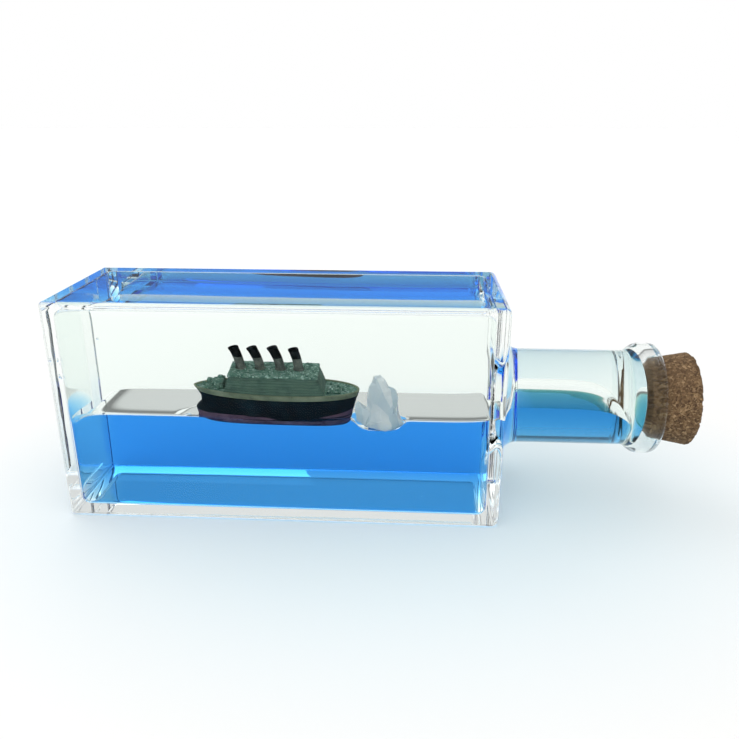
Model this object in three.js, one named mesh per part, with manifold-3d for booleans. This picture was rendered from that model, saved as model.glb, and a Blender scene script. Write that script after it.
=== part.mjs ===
// A sealed glass bottle lying on its side, filled with blue water under clear oil.
// A small four-funnel liner and an iceberg float where the two liquids meet.
// Millimetres, +Z up, +X towards the cork. The origin is under the middle of the whole object.

import * as THREE from "three";
import { ConvexGeometry } from "three/addons/geometries/ConvexGeometry.js";
import { mergeVertices } from "three/addons/utils/BufferGeometryUtils.js";
import Module from "manifold-3d";

const wasm = await Module();
wasm.setup();

// ---------- driving dimensions ----------

const GAP = 0.3; // between pieces that touch on the real object

const bottle = {
  overall: 174, // base to the outer end of the cork
  length: 120.9,
  depth: 42.5,
  height: 62.4,
  wall: 2.5, // sides, top and bottom
  base: 2.7, // the closed end
  shoulder: 3.5, // the end wall around the neck
  edge: 1.3, // rounding of the long outer edges
  baseRound: 1.2,
  shoulderRound: 2.0,
  innerEdge: 2.5,
};

const neck = {
  radius: 13.4,
  bore: 11.4,
  rootFillet: 5.8, // outside, where the neck leaves the shoulder
  innerFillet: 7.0, // inside, where the bore leaves the body
  flareStart: 35.2, // from the shoulder face
  lipStart: 38.2,
  length: 43.4,
  lipRadius: 15.4,
  lipRound: 1.2,
  mouth: 12.0, // bore radius at the mouth
  taperStart: 39.2,
};

const seal = { start: 37.4, length: 1.7, nose: 3.8, groove: 0.6, ribs: 2, ribWidth: 0.7 };
const cork = { start: 39.7, innerRadius: 10.95, outerRadius: 13.15, chamfer: 0.7 };
const interfaceHeight = 30; // where the oil meets the water

const ship = {
  x: -27.8,
  y: -8.25,
  z: 28.2, // underside of the keel
  list: 3, // degrees, towards the front glass
  trim: 1.3, // degrees, down by the bow
  yaw: 2.5, // degrees, stern towards the front glass
  halfBeam: 9.1,
  widest: 2, // station of the greatest beam
  keelTop: 3.0,
  hullTop: 7.8,
  deckTop: 9.3,
  houseTop: 13.7,
  roofTop: 14.3,
  clearance: 0.4, // round the ship, in the liquids
};

const funnelRadius = 1.25;

// Each funnel's station, its height and how far its top leans aft, from aft to fore.
const funnels = [
  { x: -9.6, height: 6.2, lean: 2.0 },
  { x: -4.3, height: 6.2, lean: 2.4 },
  { x: 1.2, height: 6.4, lean: 2.4 },
  { x: 6.1, height: 6.1, lean: 1.6 },
];

const berg = { x: 0.6, y: -12.75, z: 27, clearance: 0.6 };

const neckSides = 40;
const hullPoints = 40;

const base = -bottle.overall / 2; // outer face of the closed end
const shoulderFace = base + bottle.length;
const axisHeight = bottle.height / 2;

// ---------- shape helpers ----------

function toSolid(geometry) {
  const bare = geometry.clone();
  bare.deleteAttribute("normal");
  bare.deleteAttribute("uv");
  const merged = mergeVertices(bare, 1e-4);
  return new wasm.Manifold(new wasm.Mesh({
    numProp: 3,
    vertProperties: new Float32Array(merged.attributes.position.array),
    triVerts: new Uint32Array(merged.index.array),
  }));
}

function toGeometry(solid) {
  const mesh = solid.getMesh();
  const geometry = new THREE.BufferGeometry();
  geometry.setAttribute("position", new THREE.BufferAttribute(mesh.vertProperties, 3));
  geometry.setIndex(new THREE.BufferAttribute(mesh.triVerts, 1));
  return geometry;
}

// A closed skin over rings of equally many points, listed anticlockwise as seen from the last ring.
function loft(rings) {
  const count = rings[0].length;
  const positions = rings.flat().flatMap((p) => [p.x, p.y, p.z]);
  const faces = [];
  for (let ring = 0; ring + 1 < rings.length; ring++) {
    for (let i = 0; i < count; i++) {
      const a = ring * count + i;
      const b = ring * count + ((i + 1) % count);
      faces.push(a, b, b + count, a, b + count, a + count);
    }
  }
  const last = (rings.length - 1) * count;
  for (let i = 1; i + 1 < count; i++) {
    faces.push(0, i + 1, i);
    faces.push(last, last + i, last + i + 1);
  }
  const geometry = new THREE.BufferGeometry();
  geometry.setAttribute("position", new THREE.Float32BufferAttribute(positions, 3));
  geometry.setIndex(faces);
  return geometry;
}

function arc(centre, radius, startDegrees, endDegrees, steps) {
  const points = [];
  for (let i = 0; i <= steps; i++) {
    const angle = THREE.MathUtils.degToRad(startDegrees + ((endDegrees - startDegrees) * i) / steps);
    const offset = new THREE.Vector2(Math.cos(angle), Math.sin(angle)).multiplyScalar(radius);
    points.push(offset.add(centre));
  }
  return points;
}

function rectangleRing(x, halfDepth, halfHeight, corner) {
  const right = halfDepth - corner;
  const top = halfHeight - corner;
  const corners = [[right, top, 0], [-right, top, 90], [-right, -top, 180], [right, -top, 270]];
  return corners.flatMap(([y, z, start]) =>
    arc(new THREE.Vector2(y, z), corner, start, start + 90, 3)
      .map((p) => new THREE.Vector3(x, p.x, p.y + axisHeight)));
}

// A bar along X with rounded long edges and a quarter-round at each end.
function roundedBar(start, end, halfDepth, halfHeight, edge, startRound, endRound) {
  const steps = 3;
  const rings = [];
  const addRing = (x, inset, round) =>
    rings.push(rectangleRing(x, halfDepth - inset, halfHeight - inset, edge * (1 - (0.8 * inset) / round)));
  for (let i = 0; i <= steps; i++) {
    const angle = (i / steps) * Math.PI / 2;
    addRing(start + startRound * (1 - Math.cos(angle)), startRound * (1 - Math.sin(angle)), startRound);
  }
  for (let i = steps; i >= 0; i--) {
    const angle = (i / steps) * Math.PI / 2;
    addRing(end - endRound * (1 - Math.cos(angle)), endRound * (1 - Math.sin(angle)), endRound);
  }
  return loft(rings);
}

// Turns a profile of (radius, distance from the shoulder face) about the neck's axis.
function turned(profile) {
  const geometry = new THREE.LatheGeometry(profile, neckSides);
  geometry.rotateZ(-Math.PI / 2);
  geometry.translate(shoulderFace, 0, axisHeight);
  return toSolid(geometry);
}

const point = (radius, along) => new THREE.Vector2(radius, along);

function block(x0, x1, y0, y1, z0, z1) {
  const geometry = new THREE.BoxGeometry(x1 - x0, y1 - y0, z1 - z0);
  geometry.translate((x0 + x1) / 2, (y0 + y1) / 2, (z0 + z1) / 2);
  return toSolid(geometry);
}

function union(solids) {
  return solids.reduce((whole, solid) => whole.add(solid));
}

// ---------- bottle ----------

function neckOutside() {
  const { radius, rootFillet, flareStart, lipStart, length, lipRadius, lipRound } = neck;
  return turned([
    point(0, -2),
    point(radius + rootFillet, -2),
    ...arc(point(radius + rootFillet, rootFillet), rootFillet, 270, 180, 5),
    point(radius, flareStart),
    point(radius + 0.5, flareStart + 1.3),
    point(lipRadius - 0.3, lipStart),
    ...arc(point(lipRadius - lipRound, length - lipRound), lipRound, 0, 90, 3),
    point(0, length),
  ]);
}

function bore(inset, end) {
  const { innerFillet, taperStart, mouth, length } = neck;
  const radius = neck.bore - inset;
  return turned([
    point(0, -8),
    point(radius + innerFillet, -8),
    ...arc(point(radius + innerFillet, innerFillet - bottle.shoulder), innerFillet, 270, 180, 4),
    ...end(radius, taperStart, mouth, length),
  ]);
}

const openEnd = (radius, taperStart, mouth, length) =>
  [point(radius, taperStart), point(mouth, length), point(mouth, length + 2), point(0, length + 2)];

const roundedEnd = (radius) =>
  [...arc(point(radius - seal.nose, seal.start - GAP - seal.nose), seal.nose, 0, 90, 4),
    point(0, seal.start - GAP)];

function bodyCavity(inset) {
  return toSolid(roundedBar(
    base + bottle.base + inset,
    shoulderFace - bottle.shoulder - inset,
    bottle.depth / 2 - bottle.wall - inset,
    bottle.height / 2 - bottle.wall - inset,
    bottle.innerEdge, bottle.innerEdge, bottle.innerEdge,
  ));
}

function makeBottle() {
  const body = toSolid(roundedBar(base, shoulderFace, bottle.depth / 2, bottle.height / 2,
    bottle.edge, bottle.baseRound, bottle.shoulderRound));
  return body.add(neckOutside()).subtract(bodyCavity(0)).subtract(bore(0, openEnd));
}

// The clear plug behind the cork, dished where the liquids' rounded end meets it, with sealing ribs.
function makeSeal() {
  const radius = neck.bore - GAP;
  const end = seal.start + seal.length;
  const centre = point(radius - seal.nose, seal.start - GAP - seal.nose);
  const rim = THREE.MathUtils.radToDeg(Math.acos(seal.nose / (seal.nose + GAP)));
  const profile = [point(0, seal.start), ...arc(centre, seal.nose + GAP, 90, rim, 5)];
  for (let rib = seal.ribs; rib > 0; rib--) {
    const from = end - 2 * rib * seal.ribWidth;
    profile.push(
      point(radius, from),
      point(radius - seal.groove, from + 0.3 * seal.ribWidth),
      point(radius - seal.groove, from + 0.7 * seal.ribWidth),
      point(radius, from + seal.ribWidth),
    );
  }
  profile.push(point(radius, end), point(0, end));
  return turned(profile);
}

function makeCork() {
  const end = bottle.overall - bottle.length;
  const { start, innerRadius, outerRadius, chamfer } = cork;
  return turned([
    point(0, start),
    point(innerRadius - chamfer, start),
    point(innerRadius, start + chamfer),
    point(outerRadius, end - chamfer),
    point(outerRadius - chamfer, end),
    point(0, end),
  ]);
}

// ---------- ship, in its own frame: +X forward, +Z up from the keel ----------

// Fore and aft ends and breadth of the hull at a height above the keel.
// The bluntness is the power of the plan's superellipse: 1 is an ellipse, less is squarer.
const hullLevels = [
  { z: 0, stern: -20.4, bow: 20.2, fullness: 0.8, bluntness: 0.6 },
  { z: 1, stern: -21.9, bow: 20.6, fullness: 0.88, bluntness: 0.6 },
  { z: 3, stern: -21.9, bow: 20.8, fullness: 0.92, bluntness: 0.7 },
  { z: 4.8, stern: -20.8, bow: 21.4, fullness: 0.94, bluntness: 0.8 },
  { z: 6.3, stern: -20.9, bow: 21.8, fullness: 0.95, bluntness: 0.9 },
  { z: 7.8, stern: -21.8, bow: 22.3, fullness: 0.97, bluntness: 1 },
  { z: 9.3, stern: -22.8, bow: 22.6, fullness: 1.0, bluntness: 1 },
];

// The stern is finer than the bow by these powers, along and across.
const bowPower = { along: 0.85, across: 1.0 };
const sternPower = { along: 1.0, across: 1.15 };

function hullLevelAt(z) {
  const above = Math.max(1, hullLevels.findIndex((level) => level.z >= z));
  const [low, high] = [hullLevels[above - 1], hullLevels[above]];
  const t = (z - low.z) / (high.z - low.z);
  const between = (key) => THREE.MathUtils.lerp(low[key], high[key], t);
  return Object.fromEntries(["stern", "bow", "fullness", "bluntness"].map((key) => [key, between(key)]));
}

// The blunt bow and the finer stern are two superellipses that meet at the widest station.
function planPoint(angle, level, grow) {
  const c = Math.cos(angle);
  const s = Math.sin(angle);
  const power = c > 0 ? bowPower : sternPower;
  const reach = Math.abs((c > 0 ? level.bow : level.stern) - ship.widest) + grow;
  const breadth = ship.halfBeam * level.fullness + grow;
  const x = ship.widest + Math.sign(c) * reach * Math.abs(c) ** (power.along * level.bluntness);
  const y = Math.sign(s) * breadth * Math.abs(s) ** (power.across * level.bluntness);
  return [x, y];
}

function waterline(z, grow = 0, height = z) {
  const level = hullLevelAt(z);
  const ring = [];
  for (let i = 0; i < hullPoints; i++) {
    const [x, y] = planPoint((i / hullPoints) * 2 * Math.PI, level, grow);
    ring.push(new THREE.Vector3(x, y, height));
  }
  return ring;
}

function hullSlice(bottom, top) {
  const heights = [bottom, ...hullLevels.map((level) => level.z).filter((z) => z > bottom && z < top), top];
  return loft(heights.map((z) => waterline(z)));
}

function deckHalfBreadth(x) {
  const deck = hullLevels[hullLevels.length - 1];
  const fore = x > ship.widest;
  const power = fore ? bowPower : sternPower;
  const reach = Math.abs((x - ship.widest) / ((fore ? deck.bow : deck.stern) - ship.widest));
  const cosine = reach ** (1 / power.along);
  return ship.halfBeam * Math.sqrt(1 - cosine * cosine) ** power.across;
}

// A ring over the deckhouse's stations, with the breadth limited by the deck under it.
function houseRing(aft, fore, halfBreadth, fromEdge, z, grow = 0) {
  const steps = 6;
  const side = [];
  for (let i = 0; i <= steps; i++) {
    const x = THREE.MathUtils.lerp(aft - grow, fore + grow, i / steps);
    side.push([x, Math.min(halfBreadth, deckHalfBreadth(x) - fromEdge) + grow]);
  }
  const near = side.map(([x, y]) => new THREE.Vector3(x, -y, z));
  const far = side.reverse().map(([x, y]) => new THREE.Vector3(x, y, z));
  return [...near, ...far];
}

const houseFoot = (z, grow) => houseRing(-13.6, 13.1, 8.6, 0.5, z, grow);
const houseHead = (z, grow) => houseRing(-12.4, 11.3, 6.9, 0.3, z, grow);
const roofEdge = (z, grow) => houseRing(-12.6, 11.5, 7.1, 0.15, z, grow);

// Each funnel leans aft, more and more towards its top.
function makeFunnel({ x, height, lean }, grow = 0) {
  const foot = ship.roofTop + GAP;
  const bottom = grow ? ship.houseTop : foot;
  const top = foot + height + grow;
  const radius = funnelRadius + grow;
  const sides = 12;
  const steps = 5;
  const rings = [];
  for (let i = 0; i <= steps; i++) {
    const z = THREE.MathUtils.lerp(bottom, top, i / steps);
    const t = Math.max(0, (z - foot) / height);
    const centre = x - lean * (0.35 * t + 0.65 * t * t);
    const ring = [];
    for (let k = 0; k < sides; k++) {
      const angle = (k / sides) * 2 * Math.PI;
      ring.push(new THREE.Vector3(centre + radius * Math.cos(angle), radius * Math.sin(angle), z));
    }
    rings.push(ring);
  }
  return loft(rings);
}

function post(x, y, radius, height) {
  const sunk = 0.2;
  const geometry = new THREE.CylinderGeometry(radius, radius, height + sunk, 8);
  geometry.rotateX(Math.PI / 2);
  geometry.translate(x, y, ship.deckTop + GAP + 0.3 + (height - sunk) / 2);
  return toSolid(geometry);
}

// Winches, hatches and bollards, cast with a thin pad that sits on the deck.
function aftFittings() {
  const pad = ship.deckTop + GAP;
  return union([
    block(-19.6, -14.2, -3.0, 3.4, pad, pad + 0.35),
    block(-17.2, -14.8, -1.4, 3.0, pad, pad + 1.9),
    block(-19.2, -17.8, 0.2, 2.2, pad, pad + 1.4),
    post(-18.9, -2.2, 0.35, 0.9),
    post(-17.4, -2.2, 0.35, 0.9),
    post(-15.6, -2.2, 0.35, 0.9),
    post(-18.9, 2.8, 0.35, 0.9),
  ]);
}

function foreFittings() {
  const pad = ship.deckTop + GAP;
  return union([
    block(13.7, 18.0, -4.4, 1.8, pad, pad + 0.35),
    block(14.2, 15.6, -3.8, -1.4, pad, pad + 1.0),
    post(16.8, -2.8, 0.4, 0.7),
    post(16.8, 0.6, 0.4, 0.7),
    post(14.8, 0.6, 0.4, 0.9),
  ]);
}

function shipClearance() {
  const grow = ship.clearance;
  const hull = hullLevels.map(({ z }, i) => {
    const end = i === 0 ? -grow : i === hullLevels.length - 1 ? grow : 0;
    return waterline(z, grow, z + end);
  });
  return union([
    toSolid(loft(hull)),
    toSolid(loft([houseFoot(ship.deckTop, grow), houseHead(ship.roofTop + grow, grow + 0.2)])),
    block(-20.1, -13, -3.5, 3.9, ship.deckTop, ship.deckTop + 2.7),
    block(12.5, 18.5, -4.9, 2.3, ship.deckTop, ship.deckTop + 2.0),
    ...funnels.map((place) => toSolid(makeFunnel(place, grow))),
  ]);
}

// ---------- iceberg, in its own frame ----------

// Each lump is the convex shape over its corners, and the lumps are one casting.
const bergLumps = [
  [
    [-1.5, 0.5, 15.0], [-1.2, -1.0, 14.6], [1.5, 0, 14.4], [0.2, 1.8, 14.6], [0.9, -1.4, 13.9],
    [-2.9, -1.5, 11.5], [-2.7, 2.3, 11.2], [2.6, -2.0, 10.9], [2.4, 2.6, 10.7],
    [0, -3.1, 9.5], [0.2, 3.6, 9.0], [-3.5, -2.6, 5.0], [-3.3, 3.2, 5.0],
    [3.8, -3.0, 5.3], [3.6, 3.6, 5.0], [0.2, -4.2, 4.2], [0, 4.6, 4.6],
    [-3.2, -3.0, 1.2], [-2.8, 3.0, 1.0], [1.2, -3.8, 0.2], [0.8, 3.6, 0.2], [4.6, -3.0, 1.2], [4.2, 3.0, 1.2],
  ],
  [
    [-5.9, -1.8, 8.4], [-6.5, -2.0, 6.6], [-6.2, -3.1, 4.8], [-6.2, -1.4, 2.8], [-4.2, -1.0, 6.4],
    [-5.9, -3.4, 2.9], [-3.8, -4.2, 1.6], [-2.6, 0.2, 1.6], [-2.6, -3.4, 5.2], [-2.4, 0, 5.0],
  ],
  [
    [3.2, 0.4, 12.0], [4.8, -0.2, 11.2], [2.4, -1.8, 10.6], [2.2, 2.6, 9.6], [4.9, 2.2, 8.0],
    [4.9, -2.2, 6.4], [5.0, -2.6, 4.9], [4.9, 2.4, 4.0], [1.8, -2.0, 4.4], [1.8, 2.2, 4.2],
  ],
  [
    [6.7, -1.5, 2.1], [5.4, -3.6, 1.0], [5.2, 1.6, 1.0], [1.2, -4.1, 0.35], [2.0, 1.6, 0.3],
    [4.6, -3.0, 5.0], [4.8, 1.8, 4.8], [-3.9, -3.9, 1.5], [0.5, -4.25, 3.0],
  ],
];

function makeBerg(grow = 0) {
  return union(bergLumps.map((corners) => {
    const points = corners.map((corner) => new THREE.Vector3(...corner));
    const centre = points.reduce((sum, p) => sum.add(p), new THREE.Vector3()).divideScalar(points.length);
    const moved = points.map((p) => {
      const out = p.clone().sub(centre);
      return p.clone().add(out.normalize().multiplyScalar(grow));
    });
    return toSolid(new ConvexGeometry(moved));
  }));
}

// ---------- the assembly ----------

function materialOf(color, roughness, metalness = 0) {
  return new THREE.MeshStandardMaterial({ color, roughness, metalness });
}

const glass = new THREE.MeshStandardMaterial({
  color: 0xe8f1f0, roughness: 0.05, transparent: true, opacity: 0.25,
});
const plugPlastic = materialOf(0xeef2f2, 0.2);
const corkOak = materialOf(0x8b6542, 0.85);
const waterBlue = materialOf(0x3088e8, 0.05);
const oilClear = materialOf(0xf2f6f5, 0.05);
const keelRed = materialOf(0x463a46, 0.6);
const hullBlack = materialOf(0x10202a, 0.5);
const deckKhaki = materialOf(0x64735f, 0.6);
const houseGreen = materialOf(0x4e6359, 0.6);
const roofGreen = materialOf(0x5f7d70, 0.6);
const funnelGrey = materialOf(0x5f6462, 0.6);
const ice = materialOf(0xc8d6de, 0.5);

function named(name, geometry, material) {
  const mesh = new THREE.Mesh(geometry, material);
  mesh.name = name;
  return mesh;
}

const group = new THREE.Group();
const shipGroup = new THREE.Group();
const bergGroup = new THREE.Group();
group.add(shipGroup, bergGroup);

shipGroup.position.set(ship.x, ship.y, ship.z);
shipGroup.rotation.set(...[ship.list, ship.trim, ship.yaw].map(THREE.MathUtils.degToRad), "ZYX");
bergGroup.position.set(berg.x, berg.y, berg.z);
group.updateMatrixWorld(true);

function inWorld(solid, parent) {
  return toSolid(toGeometry(solid).applyMatrix4(parent.matrixWorld));
}

const pockets = inWorld(shipClearance(), shipGroup).add(inWorld(makeBerg(berg.clearance), bergGroup));
const liquids = bodyCavity(GAP).add(bore(GAP, roundedEnd)).subtract(pockets);
const far = bottle.overall;
const lower = block(-far, far, -far, far, -far, interfaceHeight - GAP / 2);
const upper = block(-far, far, -far, far, interfaceHeight + GAP / 2, far);

group.add(
  named("bottle", toGeometry(makeBottle()), glass),
  named("cork_stopper", toGeometry(makeCork()), corkOak),
  named("inner_seal", toGeometry(makeSeal()), plugPlastic),
  named("blue_water", toGeometry(liquids.intersect(lower)), waterBlue),
  named("clear_oil", toGeometry(liquids.intersect(upper)), oilClear),
);

shipGroup.add(
  named("ship_keel", hullSlice(0, ship.keelTop - GAP / 2), keelRed),
  named("ship_hull", hullSlice(ship.keelTop + GAP / 2, ship.hullTop - GAP / 2), hullBlack),
  named("ship_deck", hullSlice(ship.hullTop + GAP / 2, ship.deckTop), deckKhaki),
  named("ship_deckhouse", loft([houseFoot(ship.deckTop + GAP), houseHead(ship.houseTop - GAP)]), houseGreen),
  named("ship_boat_deck", loft([roofEdge(ship.houseTop), roofEdge(ship.roofTop)]), roofGreen),
  named("aft_deck_fittings", toGeometry(aftFittings()), roofGreen),
  named("fore_deck_fittings", toGeometry(foreFittings()), roofGreen),
);
funnels.forEach((place, i) => shipGroup.add(named(`funnel_${i + 1}`, makeFunnel(place), funnelGrey)));

bergGroup.add(named("iceberg", toGeometry(makeBerg()), ice));

export default group;
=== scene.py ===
"""A ship in a bottle: a square bottle on its side, blue water under clear oil, a liner and an iceberg."""

import itertools
import math

import bmesh
import bpy
import numpy as np
from mathutils import Matrix, Vector, noise


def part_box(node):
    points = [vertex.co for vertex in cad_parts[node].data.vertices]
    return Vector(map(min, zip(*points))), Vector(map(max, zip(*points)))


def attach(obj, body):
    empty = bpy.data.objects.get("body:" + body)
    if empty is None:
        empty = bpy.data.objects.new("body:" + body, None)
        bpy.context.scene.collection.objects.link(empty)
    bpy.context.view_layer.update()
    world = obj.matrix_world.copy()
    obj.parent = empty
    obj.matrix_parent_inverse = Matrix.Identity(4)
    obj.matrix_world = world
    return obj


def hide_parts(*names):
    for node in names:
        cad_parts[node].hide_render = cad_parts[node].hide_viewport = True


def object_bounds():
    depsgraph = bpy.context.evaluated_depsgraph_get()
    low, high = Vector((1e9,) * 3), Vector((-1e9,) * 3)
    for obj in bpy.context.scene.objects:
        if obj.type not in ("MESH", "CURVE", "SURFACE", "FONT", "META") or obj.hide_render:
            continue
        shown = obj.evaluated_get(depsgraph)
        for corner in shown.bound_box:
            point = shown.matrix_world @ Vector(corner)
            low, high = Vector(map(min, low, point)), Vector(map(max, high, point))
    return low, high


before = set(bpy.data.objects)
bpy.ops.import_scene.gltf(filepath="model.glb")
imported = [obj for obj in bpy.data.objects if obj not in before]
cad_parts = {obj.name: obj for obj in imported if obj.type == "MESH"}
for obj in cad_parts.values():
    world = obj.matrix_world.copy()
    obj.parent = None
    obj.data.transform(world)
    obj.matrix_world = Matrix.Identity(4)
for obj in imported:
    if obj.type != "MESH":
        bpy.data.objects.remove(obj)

MM = 0.001
scene = bpy.context.scene
cad_bounds = [list(corner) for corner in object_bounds()]

# --- camera ---

camera_data = bpy.data.cameras.new("camera")
camera_data.sensor_width = 36.0
camera_data.lens = 35.27
camera_data.clip_start = 0.01
camera = bpy.data.objects.new("camera", camera_data)
camera.location = Vector((8.8, -194.65, 110.8)) * MM
camera.rotation_euler = [math.radians(a) for a in (69.54, 0.08, 3.43)]
scene.collection.objects.link(camera)
scene.camera = camera

# --- dimensions of the CAD model, in millimetres ---

bottle_low, bottle_high = (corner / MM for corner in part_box("bottle"))
BASE = bottle_low.x
BODY_LENGTH = 120.9
SHOULDER = BASE + BODY_LENGTH
HALF_DEPTH = bottle_high.y
AXIS = bottle_high.z / 2
HALF_HEIGHT = AXIS
WALL, BASE_WALL, SHOULDER_WALL = 2.5, 2.7, 3.5
OUTER_CORNER, BASE_ROUND, SHOULDER_ROUND = 1.3, 1.2, 2.0
INNER_EDGE, INNER_FILLET = 2.5, 7.0
BORE, NECK_RADIUS, LIP_RADIUS, MOUTH_RADIUS = 11.4, 13.4, 15.6, 11.87
ROOT_FILLET, LIP_ROUND, MOUTH_ROUND = 5.8, 1.7, 0.9
# Along the neck, from the shoulder.
NECK_END = 34.0
FLARE_START, FLARE_LENGTH, FLARE_RISE = 34.4, 4.3, 2.2
LIQUID_END, PLUG_END, CORK_START = 37.1, 39.1, 39.7
PLUG_RING = 1.7  # from the plug's end to the next ring on its wall
TAPER_END, TAPER_RADIUS = 42.0, 11.81  # where the mouth's taper for the cork ends
NOSE = 3.8  # rounding of the liquids' end at the plug
SKIN = 0.03  # between the glass and the liquids' own skins

# --- helpers ---


def srgb(red, green, blue):
    def linear(value):
        value /= 255.0
        return value / 12.92 if value <= 0.04045 else ((value + 0.055) / 1.055) ** 2.4
    return (linear(red), linear(green), linear(blue), 1.0)


def smoothstep(t):
    t = min(1.0, max(0.0, t))
    return t * t * (3 - 2 * t)


def smooth_faces(piece, angle=None):
    piece.data.polygons.foreach_set("use_smooth", [True] * len(piece.data.polygons))
    if angle is not None:
        piece.data.set_sharp_from_angle(angle=math.radians(angle))


def link_mesh(name, mesh, matrix):
    piece = bpy.data.objects.new(name, mesh)
    scene.collection.objects.link(piece)
    if matrix is not None:
        piece.matrix_world = matrix
    return piece


def make_object(name, vertices, faces, materials, slots=None, matrix=None, angle=None):
    """A smooth mesh object from points in millimetres, with edges sharp over that angle."""
    mesh = bpy.data.meshes.new(name)
    mesh.from_pydata([tuple(c * MM for c in v) for v in vertices], [], faces)
    for material in materials:
        mesh.materials.append(material)
    if slots is not None:
        mesh.polygons.foreach_set("material_index", slots)
    mesh.validate()
    mesh.update()
    piece = link_mesh(name, mesh, matrix)
    smooth_faces(piece, angle)
    return piece


def finish_piece(piece, body, node):
    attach(piece, body)
    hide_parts(node)


def apply_modifiers(piece):
    depsgraph = bpy.context.evaluated_depsgraph_get()
    mesh = bpy.data.meshes.new_from_object(piece.evaluated_get(depsgraph))
    piece.modifiers.clear()
    old = piece.data
    piece.data = mesh
    bpy.data.meshes.remove(old)
    mesh.name = piece.name


def voxel_union(piece, size):
    """Joins overlapping closed shells into one skin."""
    remesh = piece.modifiers.new("union", "REMESH")
    remesh.mode = "VOXEL"
    remesh.voxel_size = size * MM
    apply_modifiers(piece)


def displace(piece, offset):
    """Moves each vertex along its normal by offset(point), all in millimetres."""
    mesh = piece.data
    normals = [v.normal.copy() for v in mesh.vertices]
    for vertex, normal in zip(mesh.vertices, normals):
        vertex.co += normal * (offset(vertex.co / MM) * MM)
    mesh.update()


def fractal(point, scale, octaves, seed=0.0):
    """Fractal noise from about -1 to 1 for features of about that scale, in millimetres."""
    place = Vector(point) / scale + Vector((seed, seed * 1.7, -seed))
    return noise.fractal(place, 1.0, 2.0, octaves)


def turn(sides):
    return [2 * math.pi * k / sides for k in range(sides)]


def loft_faces(rings, count):
    return [
        (r * count + i, r * count + (i + 1) % count,
         (r + 1) * count + (i + 1) % count, (r + 1) * count + i)
        for r in range(rings - 1) for i in range(count)
    ]


def capped_loft(rings, count):
    ends = [list(range(count))[::-1], [(rings - 1) * count + i for i in range(count)]]
    return loft_faces(rings, count) + ends


# --- materials ---


def fill_ramp(ramp, stops):
    while len(ramp.elements) < len(stops):
        ramp.elements.new(0.5)
    for element, (position, color) in zip(ramp.elements, stops):
        element.position, element.color = position, color


class Nodes:
    """A short way to write a material's node tree."""

    def __init__(self, name):
        self.material = bpy.data.materials.new(name)
        self.material.use_nodes = True
        self.tree = self.material.node_tree
        self.shader = self.tree.nodes["Principled BSDF"]
        self.output = self.tree.nodes["Material Output"]
        self.place = self.add("TexCoord").outputs["Object"]

    def add(self, kind, inputs=None, **settings):
        node = self.tree.nodes.new("ShaderNode" + kind)
        for key, value in settings.items():
            setattr(node, key, value)
        for key, value in (inputs or {}).items():
            self.put(node.inputs[key], value)
        return node

    def put(self, socket, value):
        if isinstance(value, bpy.types.NodeSocket):
            self.tree.links.new(value, socket)
        else:
            socket.default_value = value

    def set(self, **values):
        for key, value in values.items():
            self.put(self.shader.inputs[key.replace("_", " ")], value)

    def noise(self, scale, detail=4.0, rough=0.55, distortion=0.0, place=None):
        """Noise with features of about 1 / scale metres."""
        node = self.add("TexNoise", {
            "Vector": place or self.place, "Scale": scale, "Detail": detail,
            "Roughness": rough, "Distortion": distortion})
        return node.outputs["Fac"]

    def cells(self, scale, place):
        """A steady random number for each Voronoi cell."""
        cell = self.add("TexVoronoi", {"Vector": place, "Scale": scale}).outputs["Color"]
        return self.add("SeparateColor", {"Color": cell}).outputs[0]

    def seams(self, scale, place):
        """Distance to the nearest edge between those cells."""
        inputs = {"Vector": place, "Scale": scale}
        return self.add("TexVoronoi", inputs, feature="DISTANCE_TO_EDGE").outputs["Distance"]

    def stretched(self, scale):
        return self.add("Mapping", {"Vector": self.place, "Scale": scale}).outputs[0]

    def cover(self, factor, color):
        """Lays a colour over the base colour, by that factor."""
        below = self.shader.inputs["Base Color"].links[0].from_socket
        self.set(Base_Color=self.mix(factor, below, color))

    def span(self, value, low, high, to_low=0.0, to_high=1.0):
        node = self.add("MapRange", {
            "Value": value, "From Min": low, "From Max": high, "To Min": to_low, "To Max": to_high})
        return node.outputs["Result"]

    def math(self, operation, a, b=0.5):
        node = self.add("Math", operation=operation)
        self.put(node.inputs[0], a)
        self.put(node.inputs[1], b)
        return node.outputs[0]

    def mix(self, factor, a, b, blend="MIX"):
        node = self.add("Mix", data_type="RGBA", blend_type=blend)
        self.put(node.inputs["Factor"], factor)
        self.put(node.inputs[6], a)
        self.put(node.inputs[7], b)
        return node.outputs[2]

    def ramp(self, value, stops):
        node = self.add("ValToRGB", {"Fac": value})
        fill_ramp(node.color_ramp, stops)
        return node.outputs["Color"]

    def bump(self, height, strength, distance):
        """A bump of that height; distance is in millimetres."""
        node = self.add("Bump", {
            "Height": height, "Strength": strength, "Distance": distance * MM})
        self.put(self.shader.inputs["Normal"], node.outputs["Normal"])

    def axis(self, name):
        return self.add("SeparateXYZ", {"Vector": self.place}).outputs[name]


WHITE = (1, 1, 1, 1)
SOFT_GLINT = (0.1, 0.1, 0.1, 1)  # how much of the head-on reflection stays
# Painted shade: a greener, darker tint of the oil–water surface in the neck, for the shaded floor seen
# through the neck.
NECK_PAINTED_SHADE = (0.42, 0.62, 0.42, 1)  # of the surface in the neck


def clear_material(name, ior, tint=WHITE, waviness=0.0):
    """Something to see through; ior is relative to what it touches."""
    nodes = Nodes(name)
    nodes.set(Base_Color=tint, IOR=ior, Transmission_Weight=1.0, Roughness=0.0, Specular_Tint=SOFT_GLINT)
    if waviness:
        nodes.bump(nodes.noise(60.0, 2.0, 0.4), waviness, 1.0)
    return nodes.material


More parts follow.
